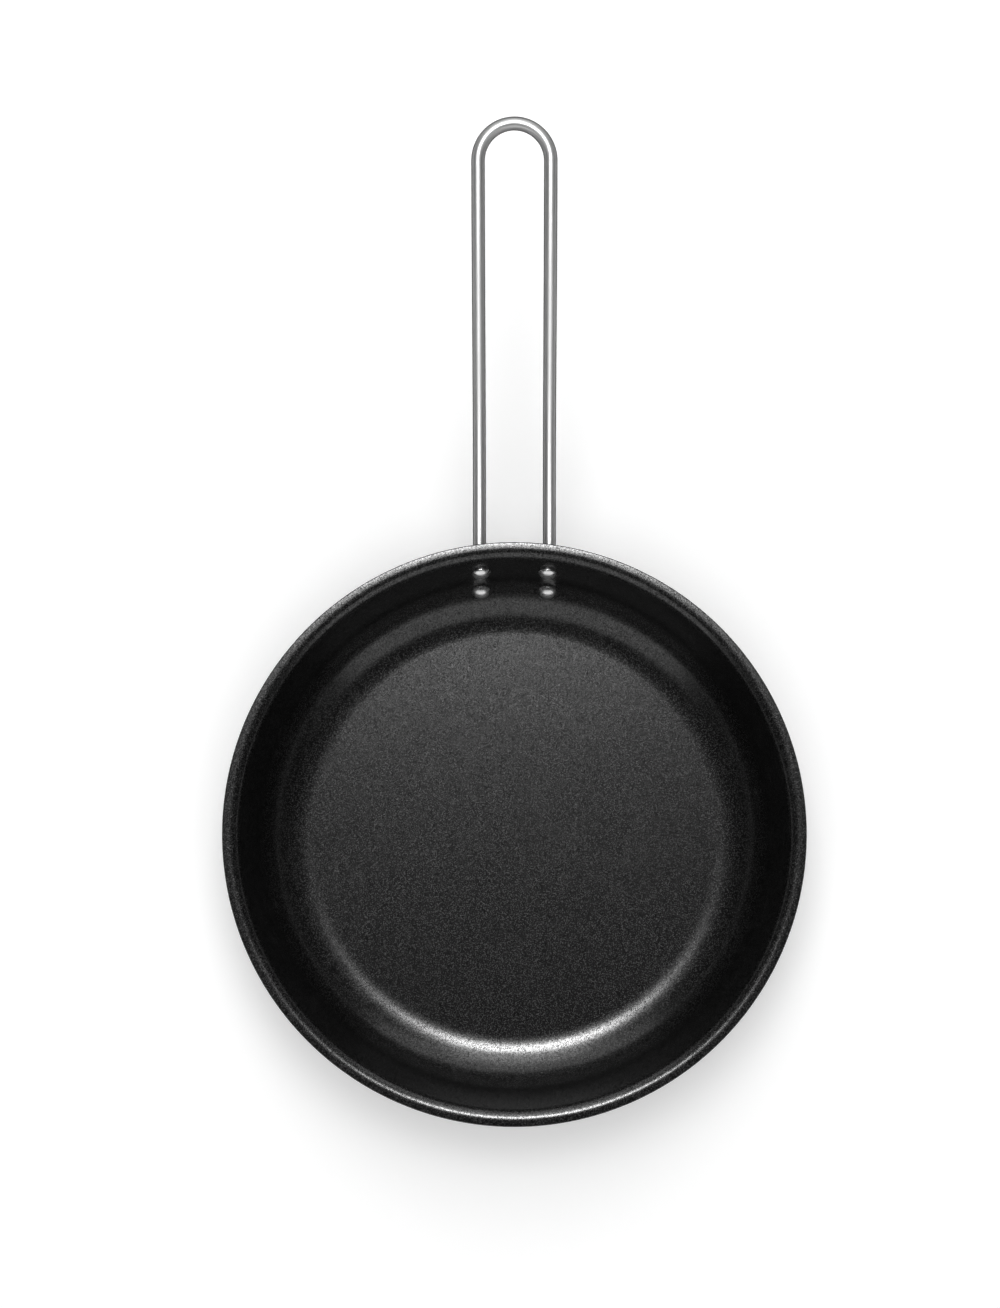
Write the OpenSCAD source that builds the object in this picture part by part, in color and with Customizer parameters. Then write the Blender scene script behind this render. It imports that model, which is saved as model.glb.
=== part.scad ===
// Frying pan: a pressed aluminium bowl with a flared lip, coated inside and out,
// a perforated steel disc in its base, and a bent steel wire handle on four rivets.
// The handle runs along +Y, +Z is up, and the origin is the centre of the underside.

/* [Bowl] */
// Outer diameter of the lip
rim_d = 250; // [220:1:280]
// Height from the underside to the top of the lip
pan_h = 46; // [42:0.5:56]
// Distance from the edge of the flat cooking floor out to the edge of the lip
side_run = 36.5; // [34:0.5:48]
// Thickness of the metal under the cooking floor
floor_t = 4; // [3.4:0.1:6]
// Thickness of the metal in the wall and the lip
wall_t = 2.3; // [1.6:0.1:2.6]
// Radius between floor and wall, on the metal's inside
fillet_r = 24; // [18:0.5:25]
// Radius of the bend between wall and lip, on the metal's inside
lip_bend_r = 5; // [4:0.1:6]
// Width of the level lip outside its bend
lip_w = 2.6; // [2.2:0.1:5]

/* [Coatings] */
// Thickness of the non-stick lining and of the outer coating
coat_t = 0.25; // [0.1:0.05:0.4]

/* [Base] */
// Distance from the edge of the cooking floor in to the edge of the foot
foot_inset = 8.5; // [2:0.5:14]
// Bevel round the foot
foot_bevel = 0.6; // [0.2:0.1:1]
// Width of the bare foot outside the steel disc
foot_rim = 6; // [4:0.5:10]
// Thickness of the steel disc
disc_t = 0.6; // [0.4:0.1:1]
// Gap between the steel disc and the aluminium round it
disc_gap = 0.05; // [0.02:0.01:0.1]
// Diameter of the disc's perforations
perforation_d = 6; // [4:0.5:8]
// Distance between the rings of perforations
perforation_pitch = 15; // [12:0.5:18]

/* [Handle] */
// Diameter of the wire
wire_d = 5.6; // [5:0.1:6.2]
// Distance between the centre lines of the two legs
leg_gap = 30; // [24:0.5:44]
// Distance from the edge of the lip to the far edge of the loop
handle_length = 170; // [150:1:210]
// Gap between the wire and the underside of the lip
lip_gap = 0.4; // [0.2:0.1:1.5]
// Radius of the bend from the wall to the level run
wall_bend_r = 5; // [4:0.5:6]
// Length of the level run beside the lip
level_run = 14; // [6:1:24]
// Slope of the handle's middle
rise_angle = 26; // [18:1:32]
// Radius of the bend from the level run up to the slope
rise_bend_r = 115; // [70:5:140]
// Slope of the handle's end
end_angle = 12; // [4:1:16]
// Radius of the bend from the slope to the handle's end
end_bend_r = 170; // [100:5:200]
// Length of the straight wire before the loop
end_run = 3; // [1:0.5:12]

/* [Pads and rivets] */
// Width of the flattened end of each leg
pad_w = 9; // [8:0.5:11]
// Thickness of the flattened end
pad_t = 3; // [2:0.1:3.4]
// Gap between the flattened end and the outer coating
pad_gap = 0.1; // [0.05:0.05:0.3]
// Length of the shoulder between the wire and its flattened end
shoulder_run = 2; // [1.5:0.1:3]
// Drop from the top of the lip to the upper rivets
upper_rivet_drop = 13.6; // [13.2:0.1:16]
// Drop from the upper rivets to the lower ones
rivet_pitch = 18.2; // [12:0.1:18.6]
// Diameter of a rivet's shank
rivet_d = 4; // [3:0.1:4.6]
// Diameter of a rivet's domed head, inside the pan
head_d = 8.5; // [7:0.1:9]
// Height of a rivet's domed head
head_h = 3.6; // [2.5:0.1:3.9]
// Height of the straight rim under the dome
head_rim = 1.3; // [1:0.1:1.6]
// Diameter of a rivet's closed end, outside the pan
tail_d = 6.4; // [5.6:0.1:6.8]
// Height of a rivet's closed end
tail_h = 1.5; // [1:0.1:2]
// Height of the straight rim of the closed end
tail_rim = 0.4; // [0.2:0.1:0.6]
// Depth of the flat seat of the closed end
tail_seat = 0.3; // [0.2:0.05:0.5]
// Gap round a head or a closed end in its seat
seat_gap = 0.05; // [0.02:0.01:0.1]

/* [Hidden] */
$fn = 96;
arc_steps = 16;
wire_sides = 20;
bend_steps = 6;
loop_steps = 18;
// Roundness of the flattened wire's outline: 0 is a circle, and near 1 a sharp rectangle
pad_squareness = 0.6;
// Cuts run this far past what they cut
overrun = pan_h / 4;

// Floor, foot and disc, each set in from the one outside it, and the rings of perforations
// that leave a whole perforation's width of steel round them
floor_d = rim_d - 2 * side_run;
foot_d = floor_d - 2 * foot_inset;
disc_d = foot_d - 2 * foot_rim;
perforation_rings = floor((disc_d / 2 - perforation_d) / perforation_pitch);

// Lip: centre of its bend, and centre of its rounded edge
lip_centre = [rim_d / 2 - lip_w, pan_h - coat_t - lip_bend_r];
edge_centre = [rim_d / 2 - coat_t - wall_t / 2, pan_h - coat_t - wall_t / 2];

// Fillet: centre of its arc, and the angle it turns through, which makes the
// straight wall tangent both to the fillet and to the bend of the lip
fillet_centre = [floor_d / 2, floor_t + fillet_r];
centre_step = lip_centre - fillet_centre;
wall_angle = atan2(centre_step.y, centre_step.x) + asin((fillet_r + lip_bend_r) / norm(centre_step));

// Wall: its normal, which points into the pan, and its distance from the origin
wall_normal = [-sin(wall_angle), cos(wall_angle)];
wall_offset = fillet_centre * wall_normal - fillet_r;
fillet_top_z = fillet_centre.y - fillet_r * cos(wall_angle);

// Layers, as depths below the metal's inside face
skin_depth = wall_t + coat_t;
pad_depth = skin_depth + pad_gap;
wire_depth = pad_depth + pad_gap + wire_d / 2;
grip = pad_depth + pad_t - tail_seat;
// The flattened wire reaches this far below its seat before the bowl's form is cut from it
pad_sink = 2 * pad_gap;

// Handle: heights and distances of its centre line, in the plane of a leg
leg_x = leg_gap / 2;
level_z = pan_h - coat_t - skin_depth - lip_gap - wire_d / 2;
pad_top_z = level_z - wall_bend_r * (1 - cos(wall_angle));
pad_top_y = sqrt(pow(wall_r(pad_top_z, wire_depth), 2) - pow(leg_x, 2));
wire_foot_z = pad_top_z + wire_depth * cos(wall_angle);
level_y = pad_top_y + wall_bend_r * sin(wall_angle);
loop_y = rim_d / 2 + handle_length - wire_d / 2 - leg_x * cos(end_angle);
bends_y = rise_bend_r * sin(rise_angle) + end_bend_r * (sin(rise_angle) - sin(end_angle));
slope_run = (loop_y - level_y - level_run - bends_y - end_run * cos(end_angle)) / cos(rise_angle);

// Rivets: heights of their seats
upper_rivet_z = pan_h - upper_rivet_drop;
lower_rivet_z = upper_rivet_z - rivet_pitch;
RIVETS = [["rivet_upper_left", -1, upper_rivet_z], ["rivet_upper_right", 1, upper_rivet_z],
    ["rivet_lower_left", -1, lower_rivet_z], ["rivet_lower_right", 1, lower_rivet_z]];

// Radius of the straight wall at a height, at a depth below the metal's inside
function wall_r(z, depth) = (z * wall_normal.y - wall_offset + depth) / -wall_normal.x;

// Angle of the inside face at a height, on the fillet or on the straight wall
function angle_at(z) = z > fillet_top_z ? wall_angle : acos((fillet_centre.y - z) / fillet_r);

// Radius of the inside face at a height
function radius_at(z) =
    z > fillet_top_z ? wall_r(z, 0) : fillet_centre.x + fillet_r * sin(angle_at(z));

// Turn about the pan's axis that sets a rivet in the middle of its pad
function rivet_turn(z) = asin(leg_x / (radius_at(z) + sin(angle_at(z)) * (pad_depth + pad_t / 2)));

function arc(centre, r, from, to) =
    [for (i = [0:arc_steps]) let (a = from + (to - from) * i / arc_steps) centre + r * [cos(a), sin(a)]];

function reversed(points) = [for (i = [len(points) - 1:-1:0]) points[i]];

// Fillet, wall and bend of the lip, at a depth below the metal's inside face
function shell_line(depth) = concat(
    arc(fillet_centre, fillet_r + depth, -90, wall_angle - 90),
    arc(lip_centre, lip_bend_r - depth, wall_angle + 90, 90));

// Part of the lip's rounded edge, on the metal or on its coating
function edge_line(cover, from, to) = arc(edge_centre, wall_t / 2 + cover, from, to);

// Fillet and wall alone, up to the height where the wire leaves them
function wall_line(depth) = concat(
    arc(fillet_centre, fillet_r + depth, -90, wall_angle - 90),
    [[wall_r(pad_top_z, depth), pad_top_z]]);

// Centres of the perforations: each ring holds six more than the one inside it
function perforations() = [for (ring = [1:perforation_rings]) for (i = [1:6 * ring])
    ring * perforation_pitch * [cos(i * 60 / ring), sin(i * 60 / ring)]];

// Bend in the plane of a leg, as [y, z, slope] places, towards a greater or a smaller slope
function bend(start, from, to, r, steps) =
    let (way = to > from ? r : -r, centre = start - way * [sin(from), -cos(from)])
    [for (i = [1:steps]) let (slope = from + (to - from) * i / steps)
        [each (centre + way * [sin(slope), -cos(slope)]), slope]];

function end_of(places) = [places[len(places) - 1].x, places[len(places) - 1].y];

// Round part of a leg, from its flattened end to the loop
function wire_places() = let (
    to_level = bend([pad_top_y, pad_top_z], wall_angle, 0, wall_bend_r, bend_steps),
    level_end = end_of(to_level) + [level_run, 0],
    to_slope = bend(level_end, 0, rise_angle, rise_bend_r, bend_steps),
    slope_end = end_of(to_slope) + slope_run * [cos(rise_angle), sin(rise_angle)],
    to_end = bend(slope_end, rise_angle, end_angle, end_bend_r, bend_steps))
    concat(to_level, [[each level_end, 0]], to_slope, [[each slope_end, rise_angle]], to_end);

// Ring of the flattened wire at a height on the wall, at a depth below the metal's inside:
// a rounded rectangle that nears a circle as its squareness falls to zero
function flat_ring(side, z, depth, half_w, half_t, squareness) =
    let (slope = angle_at(z), r = radius_at(z) + sin(slope) * depth, turn = asin(leg_x / r))
    wire_ring([side * leg_x, sqrt(pow(r, 2) - pow(leg_x, 2)), z - cos(slope) * depth],
        [side * cos(turn), -sin(turn), 0],
        [side * sin(slope) * sin(turn), sin(slope) * cos(turn), -cos(slope)],
        half_w, half_t, squareness);

function wire_ring(centre, across, down, half_w, half_t, squareness) =
    [for (i = [0:wire_sides - 1]) let (a = 360 * i / wire_sides, power = 1 - squareness)
        centre
            + across * half_w * sign(cos(a)) * pow(abs(cos(a)), power)
            + down * half_t * sign(sin(a)) * pow(abs(sin(a)), power)];

// Rings of one leg: the round end of its pad, the pad, the shoulder and the round wire
function leg_rings(side) = let (
    pad_r = pad_w / 2,
    half_t = (pad_t + pad_sink) / 2,
    low_rise = pad_r * sin(angle_at(lower_rivet_z)),
    shoulder_z = wire_foot_z - shoulder_run * sin(wall_angle))
    concat(
        [for (i = [1:bend_steps]) let (a = 90 * i / bend_steps)
            flat_ring(side, lower_rivet_z - low_rise * cos(a), pad_depth - pad_sink + half_t,
                pad_r * sin(a), half_t, pad_squareness)],
        [for (i = [1:bend_steps])
            flat_ring(side, lower_rivet_z + (shoulder_z - lower_rivet_z) * i / bend_steps,
                pad_depth - pad_sink + half_t, pad_r, half_t, pad_squareness)],
        [for (i = [1:bend_steps]) let (share = i / bend_steps, round_t = wire_d / 2)
            flat_ring(side, shoulder_z + (wire_foot_z - shoulder_z) * share,
                (pad_depth - pad_sink + half_t) * (1 - share) + wire_depth * share,
                pad_r * (1 - share) + round_t * share, half_t * (1 - share) + round_t * share,
                pad_squareness * (1 - share))],
        [for (place = wire_places())
            wire_ring([side * leg_x, place.x, place.y], [side, 0, 0],
                [0, sin(place.z), -cos(place.z)], wire_d / 2, wire_d / 2, 0)]);

// Rings of the loop, in the plane of the handle's end
function loop_rings() = let (
    ahead = [0, cos(end_angle), sin(end_angle)],
    last = wire_places()[len(wire_places()) - 1],
    centre = [0, last.x, last.y] + end_run * ahead)
    [for (i = [0:loop_steps]) let (a = 180 * i / loop_steps, out = [cos(a), 0, 0] + sin(a) * ahead)
        wire_ring(centre + leg_x * out, out, [0, sin(end_angle), -cos(end_angle)],
            wire_d / 2, wire_d / 2, 0)];

// Triangles between the rings of a tube, and its two flat ends
function tube_faces(rings, sides) = concat(
    [[for (i = [0:sides - 1]) i]],
    [for (ring = [0:rings - 2]) for (i = [0:sides - 1])
        let (low = ring * sides + i, next = ring * sides + (i + 1) % sides)
        each [[low, low + sides, next + sides], [low, next + sides, next]]],
    [[for (i = [sides - 1:-1:0]) (rings - 1) * sides + i]]);

// Puts its children on a rivet's axis, with +Z into the pan and the metal's face at zero
module at_rivet(side, z) {
    rotate([0, 0, -side * rivet_turn(z)])
        translate([0, radius_at(z), z])
            rotate([angle_at(z), 0, 0])
                children();
}

module rivet_holes() {
    for (rivet = RIVETS)
        at_rivet(rivet[1], rivet[2])
            cylinder(h = 2 * overrun, d = rivet_d, center = true);
}

module head_seats() {
    for (rivet = RIVETS)
        at_rivet(rivet[1], rivet[2])
            cylinder(h = overrun, d = head_d + 2 * seat_gap);
}

module tail_seats() {
    for (rivet = RIVETS)
        at_rivet(rivet[1], rivet[2])
            translate([0, 0, -grip - overrun])
                cylinder(h = overrun, d = tail_d + 2 * seat_gap);
}

// Bowl and foot in one turned outline, with a recess for the disc
module bowl() {
    disc_recess_r = disc_d / 2 + disc_gap;
    rotate_extrude()
        polygon(concat(
            [[0, floor_t]],
            shell_line(0),
            edge_line(0, 90, -90),
            reversed(shell_line(wall_t)),
            [[foot_d / 2, floor_t - wall_t],
                [foot_d / 2, foot_bevel],
                [foot_d / 2 - foot_bevel, 0],
                [disc_recess_r, 0],
                [disc_recess_r, disc_t],
                [0, disc_t]]));
}

module pan_body() {
    color("silver") {
        difference() {
            bowl();
            rivet_holes();
            head_seats();
        }
        for (place = perforations())
            translate(place)
                cylinder(h = floor_t / 2, d = perforation_d - 2 * disc_gap);
    }
}

module nonstick_lining() {
    color([0.13, 0.13, 0.14])
        difference() {
            rotate_extrude()
                polygon(concat(
                    [[0, floor_t + coat_t]],
                    shell_line(-coat_t),
                    edge_line(coat_t, 90, 0),
                    edge_line(0, 0, 90),
                    reversed(shell_line(0)),
                    [[0, floor_t]]));
            head_seats();
        }
}

module outer_coating() {
    color([0.09, 0.09, 0.1])
        difference() {
            rotate_extrude()
                polygon(concat(
                    [[foot_d / 2, floor_t - wall_t]],
                    shell_line(wall_t),
                    edge_line(0, -90, 0),
                    edge_line(coat_t, 0, -90),
                    reversed(shell_line(skin_depth)),
                    [[foot_d / 2, floor_t - skin_depth]]));
            rivet_holes();
        }
}

module base_disc() {
    color([0.62, 0.63, 0.65])
        difference() {
            cylinder(h = disc_t, d = disc_d);
            for (place = perforations())
                translate(place)
                    cylinder(h = 2 * overrun, d = perforation_d, center = true);
        }
}

// Space that the bowl and its coating take, with the gap outside them
module bowl_space() {
    rotate_extrude()
        polygon(concat(
            [[0, pan_h], [0, floor_t - pad_depth]],
            wall_line(pad_depth),
            [[wall_r(pan_h, pad_depth), pan_h]]));
}

// Bent wire with its two flattened ends, before they are drilled
module bent_wire() {
    rings = concat(leg_rings(1), loop_rings(), reversed(leg_rings(-1)));
    polyhedron(points = [for (ring = rings) each ring], faces = tube_faces(len(rings), wire_sides));
}

module handle() {
    color("gainsboro")
        difference() {
            bent_wire();
            bowl_space();
            rivet_holes();
            tail_seats();
        }
}

// Domed end of a rivet: a straight rim under a part of a sphere
module dome(d, h, rim) {
    rise = h - rim;
    dome_r = (pow(d / 2, 2) + pow(rise, 2)) / (2 * rise);
    cylinder(h = rim, d = d);
    intersection() {
        translate([0, 0, h - dome_r])
            sphere(r = dome_r);
        translate([0, 0, rim])
            cylinder(h = h, d = 2 * d);
    }
}

module rivet(side, z) {
    color("white")
        at_rivet(side, z) {
            dome(head_d, head_h, head_rim);
            translate([0, 0, -grip])
                cylinder(h = grip, d = rivet_d);
            translate([0, 0, -grip])
                mirror([0, 0, 1])
                    dome(tail_d, tail_h, tail_rim);
        }
}

pan_body();
nonstick_lining();
outer_coating();
base_disc();
handle();
for (rivet = RIVETS) rivet(rivet[1], rivet[2]);
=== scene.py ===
import bpy
import numpy as np
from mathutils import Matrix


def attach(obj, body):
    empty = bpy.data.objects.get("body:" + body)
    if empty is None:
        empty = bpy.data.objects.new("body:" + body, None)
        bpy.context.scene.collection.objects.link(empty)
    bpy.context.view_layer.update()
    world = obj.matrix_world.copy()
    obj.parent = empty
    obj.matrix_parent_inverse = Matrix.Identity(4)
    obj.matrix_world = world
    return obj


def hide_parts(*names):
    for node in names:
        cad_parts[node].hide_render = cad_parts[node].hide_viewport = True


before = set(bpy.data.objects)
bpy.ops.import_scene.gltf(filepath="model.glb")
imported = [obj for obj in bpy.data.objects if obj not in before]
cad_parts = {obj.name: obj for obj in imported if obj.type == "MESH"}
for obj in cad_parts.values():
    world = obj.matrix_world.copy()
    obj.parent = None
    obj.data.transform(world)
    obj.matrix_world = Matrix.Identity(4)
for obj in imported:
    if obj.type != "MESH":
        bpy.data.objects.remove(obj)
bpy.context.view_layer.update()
mm = 0.001
print("frame loaded:", ", ".join(sorted(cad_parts)))

# Sizes of the pieces are in millimetres, the same as in the solids, and surfaceObject turns them into metres.
# Finishes, lamps, table and camera are in metres.


def sinDeg(a):
    return np.sin(np.radians(a))


def cosDeg(a):
    return np.cos(np.radians(a))


def arcLine(centre, radius, start, end, steps):
    # (centre + radius cos a, centre + radius sin a), with the angle a running evenly from start to end
    a = np.linspace(start, end, steps + 1)
    return np.column_stack([centre[0] + radius * cosDeg(a), centre[1] + radius * sinDeg(a)])


def surfaceObject(name, points, faces, corners, uv=None, smoothBelow=40.0):
    # points: n x 3 in millimetres; faces: how many corners each face has; corners: the point numbers of all
    # faces in one list; uv: a pair for each of these corners
    mesh = bpy.data.meshes.new(name)
    mesh.vertices.add(len(points))
    mesh.vertices.foreach_set("co", (points * mm).astype(np.float32).ravel())
    mesh.loops.add(len(corners))
    mesh.loops.foreach_set("vertex_index", corners.astype(np.int32))
    mesh.polygons.add(len(faces))
    mesh.polygons.foreach_set("loop_start", np.concatenate([[0], np.cumsum(faces)[:-1]]).astype(np.int32))
    if uv is not None:
        layer = mesh.uv_layers.new(name="surface")
        layer.uv.foreach_set("vector", uv.astype(np.float32).ravel())
    mesh.update(calc_edges=True)
    mesh.validate()
    mesh.polygons.foreach_set("use_smooth", np.ones(len(faces), bool))
    mesh.set_sharp_from_angle(angle=np.radians(smoothBelow))
    thing = bpy.data.objects.new(name, mesh)
    bpy.context.scene.collection.objects.link(thing)
    return thing


def gridObject(name, grid, alongDistance, ring=False, startPoint=None, endPoint=None, flip=False):
    # A grid of rows x columns x 3 whose columns close on themselves. Rows close too if ring is set, and
    # otherwise each end closes in a fan to one point. The UV map holds the share of the turn and the
    # distance along the rows in metres.
    rows, columns = grid.shape[:2]
    number = np.arange(rows * columns).reshape(rows, columns)
    if ring:
        number = np.vstack([number, number[:1]])
        alongDistance = np.append(alongDistance, 2 * alongDistance[-1] - alongDistance[-2])
    following = np.roll(number, -1, axis=1)
    quads = np.stack([number[:-1], following[:-1], following[1:], number[1:]], -1).reshape(-1, 4)
    share = np.arange(columns) / columns
    low, high = alongDistance[:-1], alongDistance[1:]
    turn = np.stack([share, share + 1 / columns, share + 1 / columns, share], -1)
    travel = np.stack([low, low, high, high], -1)
    uv = np.stack(np.broadcast_arrays(turn[None], travel[:, None]), -1).reshape(-1, 4, 2)
    points = grid.reshape(-1, 3)
    corners, counts, uvs = [quads.ravel()], [np.full(len(quads), 4)], [uv.reshape(-1, 2)]
    for tip, row, at, order in ((startPoint, 0, 0, (1, 0, 2)), (endPoint, -1, -1, (0, 1, 2))):
        if tip is None:
            continue
        points = np.vstack([points, tip])
        fan = np.stack([number[row], following[row], np.full(columns, len(points) - 1)], -1)[:, order]
        corners.append(fan.ravel())
        counts.append(np.full(columns, 3))
        fanUv = np.stack([np.stack([share, share + 1 / columns, share + 0.5 / columns], -1)[:, order],
                          np.full((columns, 3), alongDistance[at])], -1)
        uvs.append(fanUv.reshape(-1, 2))
    corners, counts, uvs = np.concatenate(corners), np.concatenate(counts), np.concatenate(uvs)
    if flip:
        starts = np.concatenate([[0], np.cumsum(counts)[:-1]])
        place = np.arange(len(corners)) - np.repeat(starts, counts)
        sides = np.repeat(counts, counts)
        backwards = np.repeat(starts, counts) + (sides - place) % sides
        corners, uvs = corners[backwards], uvs[backwards]
    return surfaceObject(name, points, counts, corners, uvs * (1, mm))


def turnedGrid(outline, steps):
    # (r cos t, r sin t, z): the outline's points (r, z) carried round the vertical axis by the angle t
    t = np.linspace(0, 2 * np.pi, steps, endpoint=False)
    r, z = outline[:, 0, None], outline[:, 1, None]
    return np.stack([r * np.cos(t), r * np.sin(t), z + 0 * t], -1)


def lineDistance(points):
    # Distance along a line of points from its first point
    return np.concatenate([[0], np.cumsum(np.linalg.norm(np.diff(points, axis=0), axis=1))])


# The bowl's section, shared by the lining, the outer enamel, the handle and the rivets
bowl = dict(rimDiameter=250.0, height=46.0, sideRun=36.5, floorThickness=4.0, wallThickness=2.3,
            filletRadius=24.0, lipBendRadius=5.0, lipWidth=2.6, coatThickness=0.25, footInset=8.5,
            crownFall=4.5, crownEdge=0.5,
            turnSteps=320, filletSteps=56, lipSteps=28, edgeSteps=16, hiddenSteps=12, floorSteps=13)
floorRadius = bowl["rimDiameter"] / 2 - bowl["sideRun"]
lipCentre = np.array([bowl["rimDiameter"] / 2 - bowl["lipWidth"],
                      bowl["height"] - bowl["coatThickness"] - bowl["lipBendRadius"]])
edgeInset = bowl["coatThickness"] + bowl["wallThickness"] / 2
edgeCentre = np.array([bowl["rimDiameter"] / 2, bowl["height"]]) - edgeInset
filletCentre = np.array([floorRadius, bowl["floorThickness"] + bowl["filletRadius"]])
centreStep = lipCentre - filletCentre
bendSum = bowl["filletRadius"] + bowl["lipBendRadius"]
wallAngle = np.degrees(np.arctan2(centreStep[1], centreStep[0]) + np.arcsin(bendSum / np.hypot(*centreStep)))
wallNormal = np.array([-sinDeg(wallAngle), cosDeg(wallAngle)])
wallOffset = filletCentre @ wallNormal - bowl["filletRadius"]
filletTop = filletCentre[1] - bowl["filletRadius"] * cosDeg(wallAngle)
skinDepth = bowl["wallThickness"] + bowl["coatThickness"]


def wallRadius(z, depth):
    # Radius of the straight wall at height z, at a depth below the metal's inside face
    return (z * wallNormal[1] - wallOffset + depth) / -wallNormal[0]


def faceAngle(z):
    # Slope of the inside face at height z: the fillet's up to its top, then the wall's
    onFillet = np.degrees(np.arccos(np.clip((filletCentre[1] - z) / bowl["filletRadius"], -1, 1)))
    return np.where(z > filletTop, wallAngle, onFillet)


def faceRadius(z):
    # Radius of the inside face at height z
    onFillet = filletCentre[0] + bowl["filletRadius"] * sinDeg(faceAngle(z))
    return np.where(z > filletTop, wallRadius(z, 0), onFillet)


def shellLine(depth, filletSteps, lipSteps):
    # Fillet, straight wall and bend of the lip, at a depth below the metal's inside face
    return np.vstack([
        arcLine(filletCentre, bowl["filletRadius"] + depth, -90, wallAngle - 90, filletSteps),
        arcLine(lipCentre, bowl["lipBendRadius"] - depth, wallAngle + 90, 90, lipSteps)])


def edgeLine(cover, start, end, steps):
    # Part of the lip's rounded edge, on the metal or on its coating
    return arcLine(edgeCentre, bowl["wallThickness"] / 2 + cover, start, end, steps)


def lipCrown(steps):
    # The lip's top: an arc that falls gently outward, (start + radius sin a, top - radius (1 - cos a)), and
    # then part of an ellipse down to the outer edge, (edge - width (1 - sin a), low + height cos a)
    fall, low = bowl["crownFall"], edgeCentre[1]
    run = bowl["rimDiameter"] / 2 - bowl["crownEdge"] - lipCentre[0]
    radius = run / sinDeg(fall)
    a = np.linspace(0, fall, steps + 1)[1:]
    gentle = np.column_stack([lipCentre[0] + radius * sinDeg(a), bowl["height"] - radius * (1 - cosDeg(a))])
    startY = gentle[-1, 1] - low
    first = np.degrees(np.arctan(np.tan(np.radians(fall)) * bowl["crownEdge"] / startY))
    a = np.linspace(first, 90, steps + 1)[1:]
    width = bowl["crownEdge"] / (1 - sinDeg(first))
    steep = np.column_stack([bowl["rimDiameter"] / 2 - width * (1 - sinDeg(a)),
                             low + startY / cosDeg(first) * cosDeg(a)])
    return np.vstack([gentle, steep])


coat, hidden = bowl["coatThickness"], bowl["hiddenSteps"]
floorTop = bowl["floorThickness"] + coat
floorRings = np.linspace(0, 1, bowl["floorSteps"] + 2)[1:-1] * floorRadius
liningOutline = np.vstack([
    np.column_stack([floorRings, np.full(len(floorRings), floorTop)]),
    shellLine(-coat, bowl["filletSteps"], bowl["lipSteps"]),
    lipCrown(bowl["edgeSteps"]),
    edgeLine(0, 0, 90, hidden),
    shellLine(0, hidden, hidden)[::-1]])
lining = gridObject("lining", turnedGrid(liningOutline, bowl["turnSteps"]), lineDistance(liningOutline),
                    startPoint=(0, 0, floorTop), endPoint=(0, 0, bowl["floorThickness"]))
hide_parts("nonstick_lining")
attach(lining, "root")

underFloor = bowl["floorThickness"] - bowl["wallThickness"]
footRadius = floorRadius - bowl["footInset"]
enamelOutline = np.vstack([
    [[footRadius, underFloor - coat]],
    shellLine(skinDepth, bowl["filletSteps"], bowl["lipSteps"]),
    edgeLine(coat, -90, 0, bowl["edgeSteps"]),
    edgeLine(0, 0, -90, hidden),
    shellLine(bowl["wallThickness"], hidden, hidden)[::-1],
    [[footRadius, underFloor]]])
enamel = gridObject("outer_enamel", turnedGrid(enamelOutline, bowl["turnSteps"]), lineDistance(enamelOutline),
                    ring=True, flip=True)
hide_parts("outer_coating")
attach(enamel, "root")
print("bowl: wall at %.1f degrees, fillet up to %.1f mm" % (wallAngle, filletTop))


# The handle: one wire, swept along its path from one flattened end to the other
wire = dict(diameter=5.6, legGap=30.0, length=170.0, lipGap=0.4, wallBendRadius=5.0, levelRun=14.0,
            riseAngle=26.0, riseBendRadius=115.0, endAngle=12.0, endBendRadius=170.0, endRun=3.0,
            padWidth=9.0, padThickness=3.0, padGap=0.1, shoulderRun=2.0, padSquareness=0.6,
            rivetDrop=13.6, rivetPitch=18.2, tipStart=8.0,
            aroundSteps=56, bendSteps=26, padSteps=44, straightSteps=30, loopSteps=72)
legX = wire["legGap"] / 2
wireRadius = wire["diameter"] / 2
padDepth = skinDepth + wire["padGap"]
wireDepth = padDepth + wire["padGap"] + wireRadius
levelHeight = bowl["height"] - coat - skinDepth - wire["lipGap"] - wireRadius
padTopZ = levelHeight - wire["wallBendRadius"] * (1 - cosDeg(wallAngle))
padTopY = np.sqrt(wallRadius(padTopZ, wireDepth) ** 2 - legX ** 2)
wireFootZ = padTopZ + wireDepth * cosDeg(wallAngle)
lowerRivetZ = bowl["height"] - wire["rivetDrop"] - wire["rivetPitch"]


def bendPlaces(start, slopeFrom, slopeTo, radius):
    # Places (y, z, slope) on a bend in the plane of a leg: centre + radius (sin s, -cos s), s the slope
    way = radius if slopeTo > slopeFrom else -radius
    s = np.linspace(slopeFrom, slopeTo, wire["bendSteps"] + 1)[1:]
    centre = np.array(start) - way * np.array([sinDeg(slopeFrom), -cosDeg(slopeFrom)])
    return np.column_stack([centre[0] + way * sinDeg(s), centre[1] - way * cosDeg(s), s])


def straightPlaces(start, slope, run):
    # Places evenly spaced along a straight run
    d = np.linspace(0, run, wire["straightSteps"] + 1)[1:]
    y, z = start[0] + d * cosDeg(slope), start[1] + d * sinDeg(slope)
    return np.column_stack([y, z, np.full(len(d), slope)])


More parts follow.
